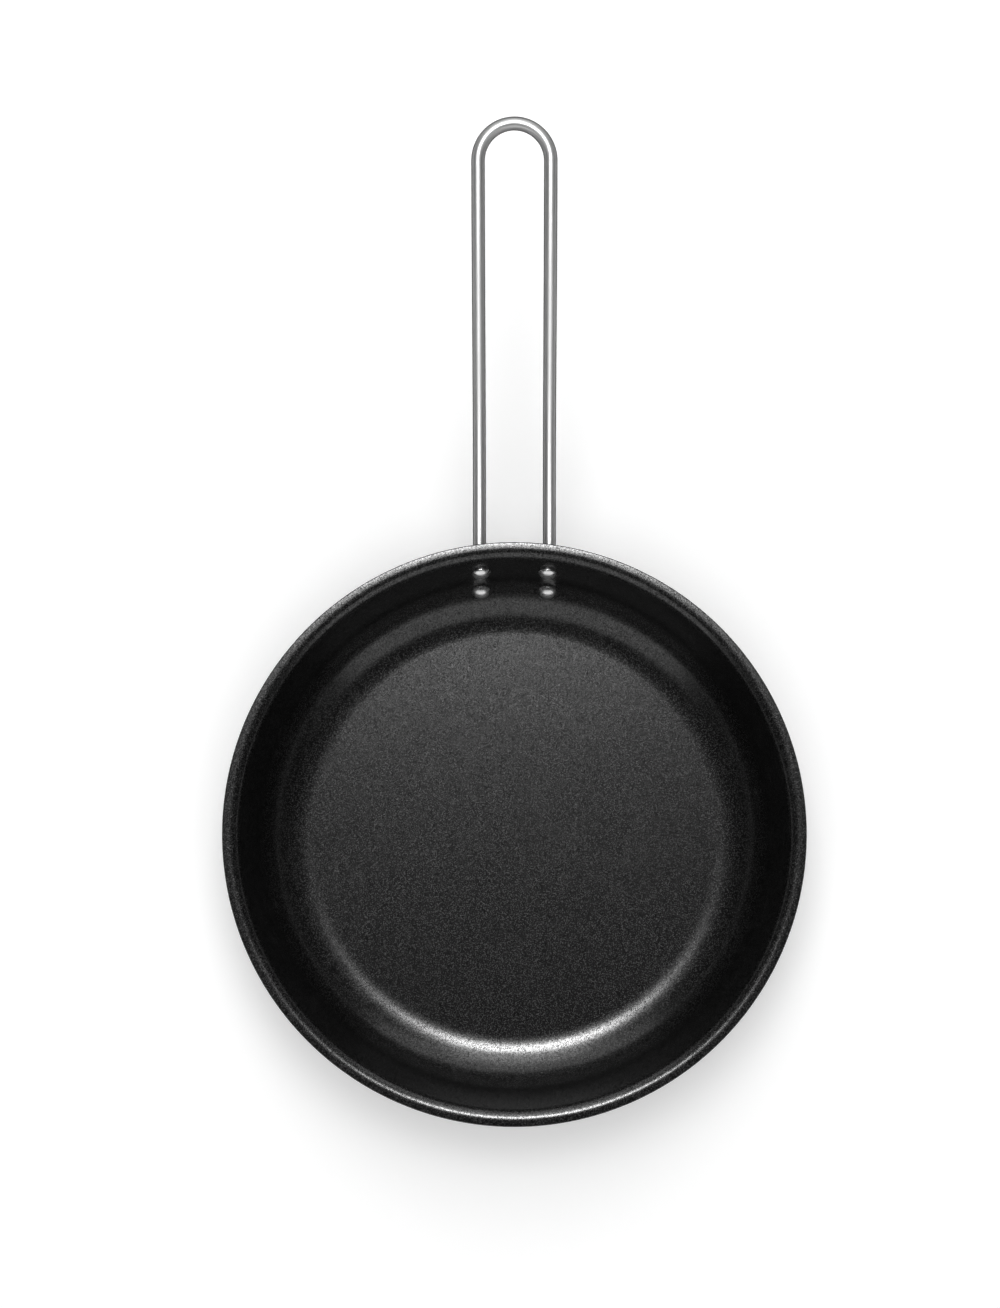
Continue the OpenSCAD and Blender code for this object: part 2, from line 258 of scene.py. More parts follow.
def legPlaces():
    # From the top of the pad: a tight bend to level, a level run, a long bend up, the slope and a last bend
    places = [bendPlaces((padTopY, padTopZ), wallAngle, 0, wire["wallBendRadius"])]
    places.append(straightPlaces(places[-1][-1], 0, wire["levelRun"]))
    places.append(bendPlaces(places[-1][-1, :2], 0, wire["riseAngle"], wire["riseBendRadius"]))
    loopY = bowl["rimDiameter"] / 2 + wire["length"] - wireRadius - legX * cosDeg(wire["endAngle"])
    bendY = wire["endBendRadius"] * (sinDeg(wire["riseAngle"]) - sinDeg(wire["endAngle"]))
    left = loopY - places[-1][-1, 0] - bendY - wire["endRun"] * cosDeg(wire["endAngle"])
    places.append(straightPlaces(places[-1][-1], wire["riseAngle"], left / cosDeg(wire["riseAngle"])))
    places.append(bendPlaces(places[-1][-1, :2], wire["riseAngle"], wire["endAngle"], wire["endBendRadius"]))
    return np.vstack(places)


def sweptRings(centre, across, down, halfWidth, halfThickness, squareness):
    # centre + across w sign(cos a)|cos a|^p + down t sign(sin a)|sin a|^p, with p = 1 - squareness:
    # a circle at squareness 0, and nearly a rectangle close to 1
    a = np.linspace(0, 2 * np.pi, wire["aroundSteps"], endpoint=False)
    power = 1 - np.asarray(squareness)[:, None]
    side = np.sign(np.cos(a)) * np.abs(np.cos(a)) ** power * np.asarray(halfWidth)[:, None]
    depth = np.sign(np.sin(a)) * np.abs(np.sin(a)) ** power * np.asarray(halfThickness)[:, None]
    return centre[:, None] + across[:, None] * side[..., None] + down[:, None] * depth[..., None]


def padRings():
    # The flattened end of the right leg on the wall: its round tip, the flat, and the shoulder into round
    # wire, whose width, thickness, depth and squareness change by 3 s^2 - 2 s^3, s the share of its length
    padRadius, halfFlat = wire["padWidth"] / 2, wire["padThickness"] / 2
    tipAngle = np.linspace(wire["tipStart"], 90, wire["padSteps"] // 2)
    tipZ = lowerRivetZ - padRadius * sinDeg(faceAngle(lowerRivetZ)) * cosDeg(tipAngle)
    shoulderZ = wireFootZ - wire["shoulderRun"] * sinDeg(wallAngle)
    flatZ = np.linspace(lowerRivetZ, shoulderZ, wire["padSteps"])[1:]
    share = np.linspace(0, 1, wire["padSteps"] // 2)[1:]
    blend = share * share * (3 - 2 * share)
    z = np.concatenate([tipZ, flatZ, shoulderZ + (wireFootZ - shoulderZ) * share])
    padRows, flatRows = len(tipZ) + len(flatZ), len(flatZ)
    halfWidth = np.concatenate([padRadius * sinDeg(tipAngle), np.full(flatRows, padRadius),
                                padRadius + (wireRadius - padRadius) * blend])
    halfThickness = np.concatenate([np.full(padRows, halfFlat), halfFlat + (wireRadius - halfFlat) * blend])
    depth = np.concatenate([np.full(padRows, padDepth + halfFlat),
                            padDepth + halfFlat + (wireDepth - padDepth - halfFlat) * blend])
    squareness = wire["padSquareness"] * np.concatenate([np.ones(padRows), 1 - blend])
    slope = faceAngle(z)
    r = faceRadius(z) + sinDeg(slope) * depth
    turn = np.arcsin(legX / r)
    centre = np.column_stack([np.full(len(z), legX), np.sqrt(r ** 2 - legX ** 2), z - cosDeg(slope) * depth])
    across = np.column_stack([np.cos(turn), -np.sin(turn), 0 * turn])
    down = np.column_stack([sinDeg(slope) * np.sin(turn), sinDeg(slope) * np.cos(turn), -cosDeg(slope)])
    return sweptRings(centre, across, down, halfWidth, halfThickness, squareness), centre


def clearOfWall(rings):
    # Moves points that lie nearer to the metal's inside face than the pad's depth straight out to that depth
    r, z = np.hypot(rings[..., 0], rings[..., 1]), rings[..., 2]
    fromFillet = np.hypot(r - filletCentre[0], z - filletCentre[1])
    below = np.degrees(np.arctan2(r - filletCentre[0], filletCentre[1] - z)) < wallAngle
    outFillet = np.stack([(r - filletCentre[0]) / fromFillet, (z - filletCentre[1]) / fromFillet])
    outWall = -np.stack([np.full_like(r, wallNormal[0]), np.full_like(r, wallNormal[1])])
    fromWall = wallOffset - (r * wallNormal[0] + z * wallNormal[1])
    depth = np.where(below, fromFillet - bowl["filletRadius"], fromWall)
    push = np.clip(padDepth - depth, 0, None)
    out = np.where(below, outFillet, outWall)
    newR = r + push * out[0]
    return np.stack([rings[..., 0] * newR / r, rings[..., 1] * newR / r, z + push * out[1]], -1)


padGrid, padCentres = padRings()
padGrid = clearOfWall(padGrid)
places = legPlaces()
legCentres = np.column_stack([np.full(len(places), legX), places[:, 0], places[:, 1]])
legAcross = np.tile([1.0, 0, 0], (len(places), 1))
legDown = np.column_stack([0 * places[:, 2], sinDeg(places[:, 2]), -cosDeg(places[:, 2])])
even = np.full(len(places), wireRadius)
legGrid = sweptRings(legCentres, legAcross, legDown, even, even, 0 * even)

ahead = np.array([0, cosDeg(wire["endAngle"]), sinDeg(wire["endAngle"])])
loopCentre = np.array([0, places[-1, 0], places[-1, 1]]) + wire["endRun"] * ahead
loopTurn = np.linspace(0, 180, wire["loopSteps"] + 1)
outward = np.column_stack([cosDeg(loopTurn), 0 * loopTurn, 0 * loopTurn]) + sinDeg(loopTurn)[:, None] * ahead
even = np.full(len(loopTurn), wireRadius)
loopDown = np.tile([0, sinDeg(wire["endAngle"]), -cosDeg(wire["endAngle"])], (len(loopTurn), 1))
loopGrid = sweptRings(loopCentre + legX * outward, outward, loopDown, even, even, 0 * even)

legRows = np.vstack([padGrid, legGrid])
wireGrid = np.vstack([legRows, loopGrid, legRows[::-1] * (-1, 1, 1)])
legLine = np.vstack([padCentres, legCentres])
wireLine = np.vstack([legLine, loopCentre + legX * outward, legLine[::-1] * (-1, 1, 1)])
tip = wireGrid[0].mean(axis=0)
handle = gridObject("wire_handle", wireGrid, lineDistance(wireLine), startPoint=tip,
                    endPoint=tip * (-1, 1, 1))
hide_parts("handle")
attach(handle, "root")
print("handle: %.0f mm of wire" % lineDistance(wireLine)[-1])


# The rivets: two in each flattened end
rivets = dict(shankDiameter=4.0, headDiameter=8.5, headHeight=3.6, headRim=1.3, tailDiameter=6.4,
              tailHeight=1.5, tailRim=0.4, tailSeat=0.3, edgeRound=0.22,
              turnSteps=96, domeSteps=28, cornerSteps=6)


def domeLine(diameter, height, rim):
    # A straight rim with a rounded corner under part of a sphere, from its foot to its crown
    rise, half = height - rim, diameter / 2
    ball = (half ** 2 + rise ** 2) / (2 * rise)
    rimSlope = np.degrees(np.arcsin(half / ball))
    ease = rivets["edgeRound"]
    corner = arcLine((half - ease, rim - ease), ease, 0, 90 - rimSlope, rivets["cornerSteps"])
    a = np.linspace(rimSlope, 0, rivets["domeSteps"] + 1)[1:-1]
    dome = np.column_stack([ball * sinDeg(a), height - ball + ball * cosDeg(a)])
    return np.vstack([[[half, 0]], corner, dome[dome[:, 0] < corner[-1, 0]]])


def rivetObject(name, side, z):
    # The whole rivet in one turned outline, set on the wall: the head's crown, shank and closed end's crown
    head = domeLine(rivets["headDiameter"], rivets["headHeight"], rivets["headRim"])
    tail = domeLine(rivets["tailDiameter"], rivets["tailHeight"], rivets["tailRim"]) * (1, -1)
    grip = padDepth + wire["padThickness"] - rivets["tailSeat"]
    shank = rivets["shankDiameter"] / 2
    outline = np.vstack([head[::-1], [[shank, 0], [shank, -grip]], tail - (0, grip)])
    grid = turnedGrid(outline, rivets["turnSteps"])
    tips = np.array([[0, 0, rivets["headHeight"]], [0, 0, -grip - rivets["tailHeight"]]])
    slope, r = float(faceAngle(z)), float(faceRadius(z))
    turn = -side * np.arcsin(legX / (r + sinDeg(slope) * (padDepth + wire["padThickness"] / 2)))
    lean = np.array([[1, 0, 0], [0, cosDeg(slope), -sinDeg(slope)], [0, sinDeg(slope), cosDeg(slope)]])
    swing = np.array([[np.cos(turn), -np.sin(turn), 0], [np.sin(turn), np.cos(turn), 0], [0, 0, 1]])

    def placed(points):
        return (points @ lean.T + (0, r, z)) @ swing.T
    return gridObject(name, placed(grid), lineDistance(outline), startPoint=placed(tips)[0],
                      endPoint=placed(tips)[1], flip=True)


rivetPieces = []
for row, height in (("upper", lowerRivetZ + wire["rivetPitch"]), ("lower", lowerRivetZ)):
    for sideName, side in (("left", -1), ("right", 1)):
        rivet = rivetObject("rivet_%s_%s_steel" % (row, sideName), side, height)
        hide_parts("rivet_%s_%s" % (row, sideName))
        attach(rivet, "root")
        rivetPieces.append(rivet)
print("rivets:", len(rivetPieces))


def newGroup(name, inputs, outputs):
    # A shader node group with named inputs (name, kind, default) and outputs (name, kind)
    group = bpy.data.node_groups.new(name, "ShaderNodeTree")
    for label, kind, value in inputs:
        socket = group.interface.new_socket(name=label, in_out="INPUT", socket_type="NodeSocket" + kind)
        if value is not None:
            socket.default_value = value
    for label, kind in outputs:
        group.interface.new_socket(name=label, in_out="OUTPUT", socket_type="NodeSocket" + kind)
    return group, group.nodes.new("NodeGroupInput"), group.nodes.new("NodeGroupOutput")


def put(tree, kind, inputs=None, **settings):
    # Adds a node; inputs are values or sockets to link, by name or by number
    node = tree.nodes.new("ShaderNode" + kind)
    for key, value in settings.items():
        setattr(node, key, value)
    for key, value in (inputs or {}).items():
        if isinstance(value, bpy.types.NodeSocket):
            tree.links.new(value, node.inputs[key])
        else:
            node.inputs[key].default_value = value
    return node


def sums(tree, operation, *values, clamp=False):
    return put(tree, "Math", dict(enumerate(values)), operation=operation, use_clamp=clamp).outputs[0]


def mapped(tree, value, fromLow, fromHigh, toLow, toHigh):
    return put(tree, "MapRange", {"Value": value, "From Min": fromLow, "From Max": fromHigh,
                                  "To Min": toLow, "To Max": toHigh}).outputs["Result"]


def shade(tree, factor, low, high):
    # A colour between low and high by a factor
    node = put(tree, "Mix", data_type="RGBA")
    tree.links.new(factor, node.inputs["Factor"])
    for name, value in (("A", low), ("B", high)):
        socket = [s for s in node.inputs if s.name == name and s.type == "RGBA"][0]
        if isinstance(value, bpy.types.NodeSocket):
            tree.links.new(value, socket)
        else:
            socket.default_value = (*value, 1) if hasattr(value, "__len__") else (value, value, value, 1)
    return [s for s in node.outputs if s.type == "RGBA"][0]


# The range in which most of a noise's values lie
noiseRange = (0.3, 0.7)

# Patterns: the values of inputs until a finish sets them, and the numbers that all finishes share
flakePattern = dict(grain=0.0006, share=0.3, detail=2.0, cellHeight=0.6)


def flakeGroup(pattern):
    # Metal flakes in a coating: cells of the grain's size, of which a share shine, each by its own amount
    tree, start, end = newGroup("metalFlakes",
                                [("Place", "Vector", None), ("Grain", "Float", pattern["grain"]),
                                 ("Share", "Float", pattern["share"])],
                                [("Flakes", "Float"), ("Tone", "Float"), ("Height", "Float")])
    scale = sums(tree, "DIVIDE", 1.0, start.outputs["Grain"])
    cells = put(tree, "TexVoronoi", {"Vector": start.outputs["Place"], "Scale": scale}, feature="F1")
    apart = put(tree, "SeparateColor", {"Color": cells.outputs["Color"]})
    level = sums(tree, "SUBTRACT", 1.0, start.outputs["Share"])
    over = sums(tree, "SUBTRACT", apart.outputs[0], level)
    flakes = sums(tree, "DIVIDE", over, start.outputs["Share"], clamp=True)
    fine = put(tree, "TexNoise", {"Vector": start.outputs["Place"], "Scale": scale,
                                  "Detail": pattern["detail"]})
    tree.links.new(flakes, end.inputs["Flakes"])
    tree.links.new(fine.outputs[0], end.inputs["Tone"])
    between = sums(tree, "MULTIPLY", fine.outputs[0], 1.0 - pattern["cellHeight"])
    height = sums(tree, "MULTIPLY_ADD", apart.outputs[1], pattern["cellHeight"], between)
    tree.links.new(height, end.inputs["Height"])
    return tree


lathePattern = dict(pitch=0.0004, broadPitch=0.006, detail=3.0, roughness=0.6, broadDetail=1.5,
                    patchScale=45.0, patchDetail=2.0, patchStrength=(0.75, 1.1))


def turnedGroup(pattern):
    # Lathe lines: bands of noise across a distance from the axis, with a slow change round the turn
    tree, start, end = newGroup("turnedLines",
                                [("Distance", "Float", 0.0), ("Place", "Vector", None),
                                 ("Pitch", "Float", pattern["pitch"]),
                                 ("Broad Pitch", "Float", pattern["broadPitch"])],
                                [("Lines", "Float"), ("Bands", "Float"), ("Height", "Float")])
    fineAt = sums(tree, "DIVIDE", start.outputs["Distance"], start.outputs["Pitch"])
    fine = put(tree, "TexNoise", {"W": fineAt, "Scale": 1.0, "Detail": pattern["detail"],
                                  "Roughness": pattern["roughness"]}, noise_dimensions="1D")
    broadAt = sums(tree, "DIVIDE", start.outputs["Distance"], start.outputs["Broad Pitch"])
    broad = put(tree, "TexNoise", {"W": broadAt, "Scale": 1.0, "Detail": pattern["broadDetail"]},
                noise_dimensions="1D")
    patch = put(tree, "TexNoise", {"Vector": start.outputs["Place"], "Scale": pattern["patchScale"],
                                   "Detail": pattern["patchDetail"]})
    strength = mapped(tree, patch.outputs[0], *noiseRange, *pattern["patchStrength"])
    lines = sums(tree, "MULTIPLY", fine.outputs[0], strength)
    tree.links.new(lines, end.inputs["Lines"])
    tree.links.new(broad.outputs[0], end.inputs["Bands"])
    tree.links.new(fine.outputs[0], end.inputs["Height"])
    return tree


drawnPattern = dict(linesRound=30.0, stretch=60.0, scale=0.6, detail=4.0, roughness=0.65)


def drawnGroup(pattern):
    # Drawing lines along a wire: noise on the turn round the wire, stretched along its length. The flank mask
    # is 1 on the wire's two sides and 0 above and below; the wire's colour is darkened there as painted
    # shade, standing in for the dark reflections at a round wire's edges.
    tree, start, end = newGroup("drawnLines",
                                [("Surface", "Vector", None), ("Lines Round", "Float", pattern["linesRound"]),
                                 ("Stretch", "Float", pattern["stretch"])],
                                [("Lines", "Float"), ("Flank Shade", "Float"), ("Height", "Float")])
    apart = put(tree, "SeparateXYZ", {"Vector": start.outputs["Surface"]})
    angle = sums(tree, "MULTIPLY", apart.outputs["X"], 2 * np.pi)
    ring = [sums(tree, "MULTIPLY", sums(tree, way, angle), start.outputs["Lines Round"])
            for way in ("COSINE", "SINE")]
    along = sums(tree, "MULTIPLY", apart.outputs["Y"], start.outputs["Stretch"])
    place = put(tree, "CombineXYZ", {"X": ring[0], "Y": ring[1], "Z": along}).outputs["Vector"]
    fine = put(tree, "TexNoise", {"Vector": place, "Scale": pattern["scale"], "Detail": pattern["detail"],
                                  "Roughness": pattern["roughness"]})
    # Flank mask as cos squared of the turn: where the painted shade on the wire's sides goes
    side = sums(tree, "COSINE", angle)
    tree.links.new(sums(tree, "MULTIPLY", side, side), end.inputs["Flank Shade"])
    tree.links.new(fine.outputs[0], end.inputs["Lines"])
    tree.links.new(fine.outputs[0], end.inputs["Height"])
    return tree


# Each layer of marks: how far it is turned, and how much its noise is stretched
scuffPattern = dict(scale=300.0, width=0.03, tilt=0.3, layers=((0.4, 0.12), (-0.9, 0.2)), detail=1.0,
                    middle=0.5, patchScale=60.0, patchDetail=3.0, patchRange=(0.5, 0.68))


def scuffGroup(pattern):
    # Fine handling marks: thin bright ridges where two stretched noises cross their middle value, in patches
    tree, start, end = newGroup("handlingMarks",
                                [("Place", "Vector", None), ("Scale", "Float", pattern["scale"]),
                                 ("Width", "Float", pattern["width"])],
                                [("Marks", "Float"), ("Smudge", "Float")])
    masks = []
    for turn, squeeze in pattern["layers"]:
        laid = put(tree, "Mapping", {"Vector": start.outputs["Place"],
                                     "Rotation": (pattern["tilt"], turn, turn * 2),
                                     "Scale": (1.0, squeeze, 1.0)})
        noise = put(tree, "TexNoise", {"Vector": laid.outputs[0], "Scale": start.outputs["Scale"],
                                       "Detail": pattern["detail"]})
        off = sums(tree, "ABSOLUTE", sums(tree, "SUBTRACT", noise.outputs[0], pattern["middle"]))
        beside = sums(tree, "DIVIDE", off, start.outputs["Width"], clamp=True)
        masks.append(sums(tree, "SUBTRACT", 1.0, beside))
    patch = put(tree, "TexNoise", {"Vector": start.outputs["Place"], "Scale": pattern["patchScale"],
                                   "Detail": pattern["patchDetail"]})
    where = mapped(tree, patch.outputs[0], *pattern["patchRange"], 0.0, 1.0)
    marks = sums(tree, "MULTIPLY", sums(tree, "MAXIMUM", *masks), where)
    tree.links.new(marks, end.inputs["Marks"])
    tree.links.new(patch.outputs[0], end.inputs["Smudge"])
    return tree


metalFlakes = flakeGroup(flakePattern)
turnedLines = turnedGroup(lathePattern)
drawnLines = drawnGroup(drawnPattern)
handlingMarks = scuffGroup(scuffPattern)


def newFinish(name):
    # A material with its Principled shader and a coordinate node
    material = bpy.data.materials.new(name)
    material.use_nodes = True
    tree = material.node_tree
    shader = tree.nodes["Principled BSDF"]
    return material, tree, shader, put(tree, "TexCoord")


def useGroup(tree, group, inputs):
    node = put(tree, "Group", None, node_tree=group)
    for key, value in inputs.items():
        if isinstance(value, bpy.types.NodeSocket):
            tree.links.new(value, node.inputs[key])
        else:
            node.inputs[key].default_value = value
    return node.outputs


def bumped(tree, shader, height, strength, distance):
    bump = put(tree, "Bump", {"Height": height, "Strength": strength, "Distance": distance})
    tree.links.new(bump.outputs[0], shader.inputs["Normal"])


def axisDistance(tree, place):
    # Distance from the pan's axis
    flat = put(tree, "VectorMath", {0: place, 1: (1, 1, 0)}, operation="MULTIPLY")
    return put(tree, "VectorMath", {0: flat.outputs[0]}, operation="LENGTH").outputs["Value"]


# In every finish: grain, pitches and bumpDepth are lengths, roughnesses and tones are as the shader takes
# them, those called flake, smudge, ring or mark roughness are added, and mark scales are cycles per metre
liningFinish = dict(dark=0.001, flake=0.06, grain=0.00034, share=0.4, flakeTone=(0.5, 1.0), roughness=0.56,
                    flakeRoughness=-0.12, smudgeRoughness=0.05, ringRoughness=0.09, ringHeight=0.12,
                    ringPitch=0.0009, ringBroadPitch=0.011,
                    gloss=0.23, glossRange=(0.2, 0.75), glossWeight=(0.12, 1.0), refraction=1.76, plain=0.02,
                    markTone=0.12, markShare=0.12, markScale=240.0, markWidth=0.02,
                    edgeTint=0.0, bump=0.3, bumpDepth=0.0004)
enamelFinish = dict(dark=0.003, flake=0.12, grain=0.0005, share=0.35, flakeTone=(0.5, 1.0), roughness=0.56,
                    flakeRoughness=-0.1, smudgeRoughness=0.05, ringRoughness=0.0, ringHeight=0.0,
                    ringPitch=0.0009, ringBroadPitch=0.011,
                    gloss=0.34, glossRange=(0.2, 0.75), glossWeight=(0.45, 0.75), refraction=1.5, plain=0.2,
                    markTone=0.12, markShare=0.12, markScale=240.0, markWidth=0.02,
                    edgeTint=0.0, bump=0.4, bumpDepth=0.0004)


def coatingMaterial(name, look):
    # Black coating with metal flakes over faint turning lines: a dark base, flakes that shine through it, a
    # gloss whose strength changes from grain to grain, and a few handling marks
    material, tree, shader, where = newFinish(name)
    place = where.outputs["Object"]
    flakes = useGroup(tree, metalFlakes, {"Place": place, "Grain": look["grain"], "Share": look["share"]})
    marks = useGroup(tree, handlingMarks, {"Place": place, "Scale": look["markScale"],
                                           "Width": look["markWidth"]})
    turned = useGroup(tree, turnedLines, {"Distance": axisDistance(tree, place), "Place": place,
                                          "Pitch": look["ringPitch"], "Broad Pitch": look["ringBroadPitch"]})
    shine = mapped(tree, flakes["Tone"], *noiseRange, *look["flakeTone"])
    tone = sums(tree, "MULTIPLY", flakes["Flakes"], shine)
    colour = shade(tree, tone, look["dark"], look["flake"])
    worn = sums(tree, "MULTIPLY", marks["Marks"], look["markShare"])
    tree.links.new(shade(tree, worn, colour, look["markTone"]), shader.inputs["Base Color"])
    rough = sums(tree, "MULTIPLY_ADD", flakes["Flakes"], look["flakeRoughness"], look["roughness"])
    bands = sums(tree, "SUBTRACT", turned["Bands"], sum(noiseRange) / 2)
    rough = sums(tree, "MULTIPLY_ADD", bands, look["ringRoughness"], rough)
    rough = sums(tree, "MULTIPLY_ADD", marks["Smudge"], look["smudgeRoughness"], rough)
    tree.links.new(rough, shader.inputs["Roughness"])
    tree.links.new(flakes["Flakes"], shader.inputs["Metallic"])
    gloss = mapped(tree, flakes["Height"], *look["glossRange"], *look["glossWeight"])
    tree.links.new(gloss, shader.inputs["Coat Weight"])
    shader.inputs["Specular IOR Level"].default_value = look["plain"]
    shader.inputs["Specular Tint"].default_value = (look["edgeTint"],) * 3 + (1,)
    shader.inputs["Coat Roughness"].default_value = look["gloss"]
    shader.inputs["Coat IOR"].default_value = look["refraction"]
    height = sums(tree, "MULTIPLY_ADD", turned["Height"], look["ringHeight"], flakes["Height"])
    bumped(tree, shader, height, look["bump"], look["bumpDepth"])
    return material


# The darkest tone and the flank share set painted shade on the wire's two sides; the darkest tone is also the
# low end of the drawing lines' variation
wireFinish = dict(dullAndFlankShade=0.06, bright=0.9, plainShare=0.7, flankShadeShare=0.95, linesRound=26.0, linesStretch=90.0,
                  roughness=(0.53, 0.43), stretch=0.7, stretchTurn=0.25, edgeTint=0.0,
                  markScale=520.0, markWidth=0.025, markRoughness=0.12, smudgeRoughness=0.06,
                  bump=0.08, bumpDepth=0.0001)


def wireMaterial(look):
    # Polished steel wire with drawing lines along it, painted shade that darkens its two flanks, and a little
    # handling wear
    material, tree, shader, where = newFinish("drawnSteelWire")
    drawn = useGroup(tree, drawnLines, {"Surface": where.outputs["UV"], "Lines Round": look["linesRound"],
                                        "Stretch": look["linesStretch"]})
    marks = useGroup(tree, handlingMarks, {"Place": where.outputs["Object"], "Scale": look["markScale"],
                                           "Width": look["markWidth"]})
    # Painted shade: the colour on the wire's two sides is darkened toward the darkest tone, standing in for
    # dark edge reflections; the drawing lines vary it too
    polishAndFlankShade = sums(tree, "MULTIPLY", mapped(tree, drawn["Lines"], *noiseRange, look["plainShare"], 1.0),
                  mapped(tree, drawn["Flank Shade"], 0.0, 1.0, 1.0, 1.0 - look["flankShadeShare"]))
    tree.links.new(shade(tree, polishAndFlankShade, look["dullAndFlankShade"], look["bright"]), shader.inputs["Base Color"])
    rough = mapped(tree, drawn["Lines"], *noiseRange, *look["roughness"])
    rough = sums(tree, "MULTIPLY_ADD", marks["Smudge"], look["smudgeRoughness"], rough)
    rough = sums(tree, "MULTIPLY_ADD", marks["Marks"], look["markRoughness"], rough)
    tree.links.new(rough, shader.inputs["Roughness"])
    shader.inputs["Metallic"].default_value = 1.0
    shader.inputs["Specular Tint"].default_value = (look["edgeTint"],) * 3 + (1,)
    shader.inputs["Anisotropic"].default_value = look["stretch"]
    shader.inputs["Anisotropic Rotation"].default_value = look["stretchTurn"]
    turn = put(tree, "Tangent", direction_type="UV_MAP", uv_map="surface")
    tree.links.new(turn.outputs[0], shader.inputs["Tangent"])
    bumped(tree, shader, drawn["Height"], look["bump"], look["bumpDepth"])
    return material


rivetFinish = dict(dark=0.6, bright=0.84, lineRange=(0.25, 0.7), roughness=(0.2, 0.34),
                   ringPitch=0.00025, ringBroadPitch=0.0016, ringHeight=0.4, dentScale=900.0, dentDetail=2.0,
                   markScale=700.0, markWidth=0.03, markRoughness=0.1, bump=0.05, bumpDepth=0.0002)


def rivetMaterial(look):
    # Pressed steel rivet: fine rings round the crown and small dents from setting
    material, tree, shader, where = newFinish("pressedSteelRivet")
    place = where.outputs["Object"]
    apart = put(tree, "SeparateXYZ", {"Vector": where.outputs["UV"]})
    turned = useGroup(tree, turnedLines, {"Distance": apart.outputs["Y"], "Place": place,
                                          "Pitch": look["ringPitch"], "Broad Pitch": look["ringBroadPitch"]})
    marks = useGroup(tree, handlingMarks, {"Place": place, "Scale": look["markScale"],
                                           "Width": look["markWidth"]})
    tint = mapped(tree, turned["Lines"], *look["lineRange"], 0.0, 1.0)
    tree.links.new(shade(tree, tint, look["dark"], look["bright"]), shader.inputs["Base Color"])
    rough = mapped(tree, turned["Bands"], *noiseRange, *look["roughness"])
    rough = sums(tree, "MULTIPLY_ADD", marks["Marks"], look["markRoughness"], rough)
    tree.links.new(rough, shader.inputs["Roughness"])
    shader.inputs["Metallic"].default_value = 1.0
    dents = put(tree, "TexNoise", {"Vector": place, "Scale": look["dentScale"], "Detail": look["dentDetail"]})
    height = sums(tree, "MULTIPLY_ADD", turned["Height"], look["ringHeight"], dents.outputs[0])
    bumped(tree, shader, height, look["bump"], look["bumpDepth"])
    return material


aluminiumFinish = dict(dark=0.52, bright=0.72, lineRange=(0.2, 0.65), roughness=(0.28, 0.46),
                       pitch=0.00035, broadPitch=0.0049,
                       markScale=260.0, markWidth=0.02, markShare=0.4, markTone=0.83, smudgeRoughness=0.08,
                       bump=0.25, bumpDepth=0.00015)
baseFinish = dict(dark=0.46, bright=0.64, lineRange=(0.2, 0.65), roughness=(0.24, 0.42),
                  pitch=0.00028, broadPitch=0.0039,
                  markScale=260.0, markWidth=0.02, markShare=0.4, markTone=0.74, smudgeRoughness=0.08,
                  bump=0.2, bumpDepth=0.00015)


def turnedMaterial(name, look):
    # Bare metal turned on a lathe about the pan's axis, with scratches from hobs and shelves
    material, tree, shader, where = newFinish(name)
    place = where.outputs["Object"]
    turned = useGroup(tree, turnedLines, {"Distance": axisDistance(tree, place), "Place": place,
                                          "Pitch": look["pitch"], "Broad Pitch": look["broadPitch"]})
    marks = useGroup(tree, handlingMarks, {"Place": place, "Scale": look["markScale"],
                                           "Width": look["markWidth"]})
    tint = mapped(tree, turned["Lines"], *look["lineRange"], 0.0, 1.0)
    colour = shade(tree, tint, look["dark"], look["bright"])
    worn = sums(tree, "MULTIPLY", marks["Marks"], look["markShare"])
    tree.links.new(shade(tree, worn, colour, look["markTone"]), shader.inputs["Base Color"])
    rough = mapped(tree, turned["Bands"], *noiseRange, *look["roughness"])
    rough = sums(tree, "MULTIPLY_ADD", marks["Smudge"], look["smudgeRoughness"], rough)
    tree.links.new(rough, shader.inputs["Roughness"])
    shader.inputs["Metallic"].default_value = 1.0
    bumped(tree, shader, turned["Height"], look["bump"], look["bumpDepth"])
    return material


def dress(thing, material):
    thing.data.materials.clear()
    thing.data.materials.append(material)


dress(lining, coatingMaterial("flakedNonstick", liningFinish))
dress(enamel, coatingMaterial("outsideEnamel", enamelFinish))
dress(handle, wireMaterial(wireFinish))
rivetSteel = rivetMaterial(rivetFinish)
for rivet in rivetPieces:
    dress(rivet, rivetSteel)
dress(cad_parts["pan_body"], turnedMaterial("turnedAluminium", aluminiumFinish))
dress(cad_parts["base_disc"], turnedMaterial("turnedBaseSteel", baseFinish))
print("finishes:", len(bpy.data.materials))


# The table's glow rises from glow to farGlow, or farGlossGlow in reflections, between two distances
table = dict(radius=25.0, drop=0.0001, colour=0.93, glow=0.21, farGlow=0.98, farGlossGlow=0.5,
             fadeFrom=0.36, fadeTo=1.7, steps=96)
